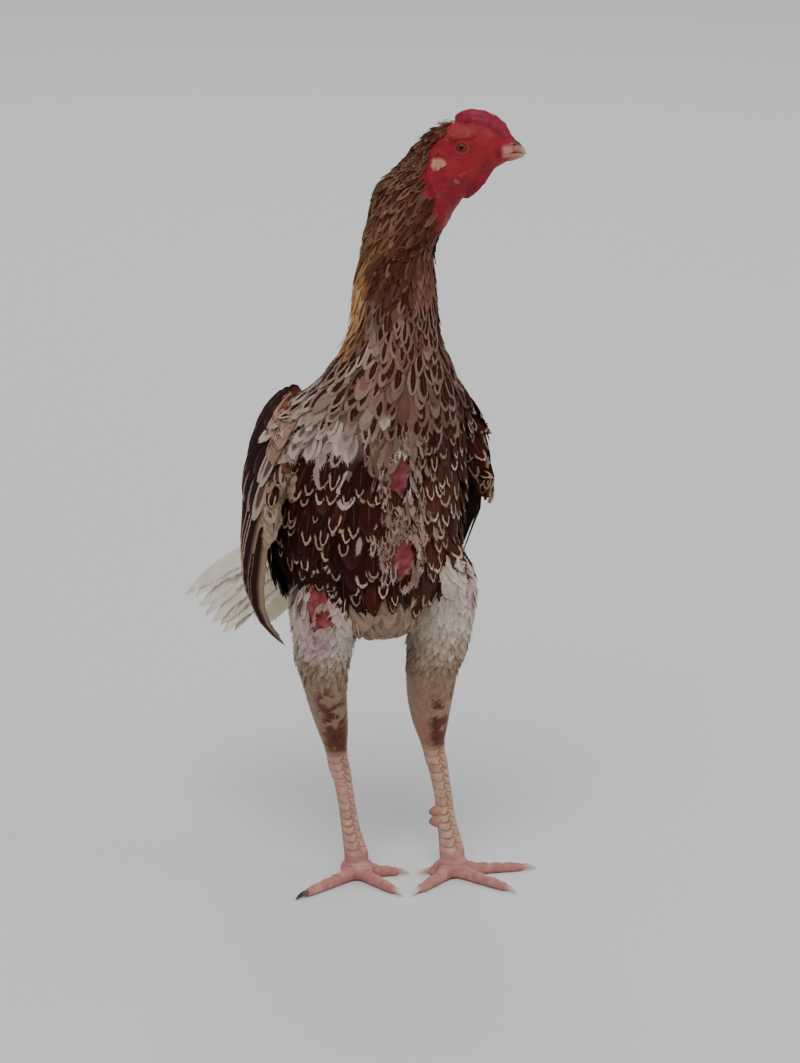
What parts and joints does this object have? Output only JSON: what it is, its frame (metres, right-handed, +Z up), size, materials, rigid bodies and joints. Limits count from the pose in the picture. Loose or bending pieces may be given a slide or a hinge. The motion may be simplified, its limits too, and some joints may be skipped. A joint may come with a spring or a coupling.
{
  "type": "aseel chicken",
  "caption": "Life-size still model of a standing aseel cockerel, upright and long-necked, head turned to its left, with pea comb, folded wings and a short drooping tail.",
  "frame": {"origin": "on the floor under the middle of the bird's bounding box, near its feet", "axes": "+Z up; the bird's body faces -Y and its right side is at -X"},
  "size_m": [0.2352, 0.3493, 0.6655],
  "materials": {
    "feather_dark": "dark maroon body and wing feathers with cream edges",
    "feather_cream": "cream thigh and tail feathers",
    "feather_neck": "red-brown neck feathers with buff streaks",
    "red_skin": "bare crimson skin of face and throat",
    "comb_skin": "smooth red comb",
    "horn": "pale horn of beak, claws and spurs",
    "dark_horn": "dark horn of one claw",
    "leg_scale": "pinkish scaled skin of shanks and toes",
    "lobe_skin": "pale pink earlobe skin",
    "eye": "glossy red-brown eye"
  },
  "bodies": {
    "root": {"torso": "feather_dark", "neck": "feather_neck", "head": "red_skin", "comb": "comb_skin", "beak_upper": "horn", "beak_lower": "horn", "eye_r": "eye", "eye_l": "eye", "earlobe_r": "lobe_skin", "earlobe_l": "lobe_skin", "wattle_r": "red_skin", "wattle_l": "red_skin", "wing_r": "feather_dark", "wing_l": "feather_dark", "tail": "feather_cream", "thigh_r": "feather_cream", "shank_r": "leg_scale", "foot_r": "leg_scale", "spur_r": "horn", "toe_r1": "leg_scale", "claw_r1": "horn", "toe_r2": "leg_scale", "claw_r2": "horn", "toe_r3": "leg_scale", "claw_r3": "horn", "toe_r4": "leg_scale", "claw_r4": "dark_horn", "thigh_l": "feather_cream", "shank_l": "leg_scale", "foot_l": "leg_scale", "spur_l": "horn", "toe_l1": "leg_scale", "claw_l1": "horn", "toe_l2": "leg_scale", "claw_l2": "horn", "toe_l3": "leg_scale", "claw_l3": "horn", "toe_l4": "leg_scale", "claw_l4": "horn"}
  },
  "joints": []
}
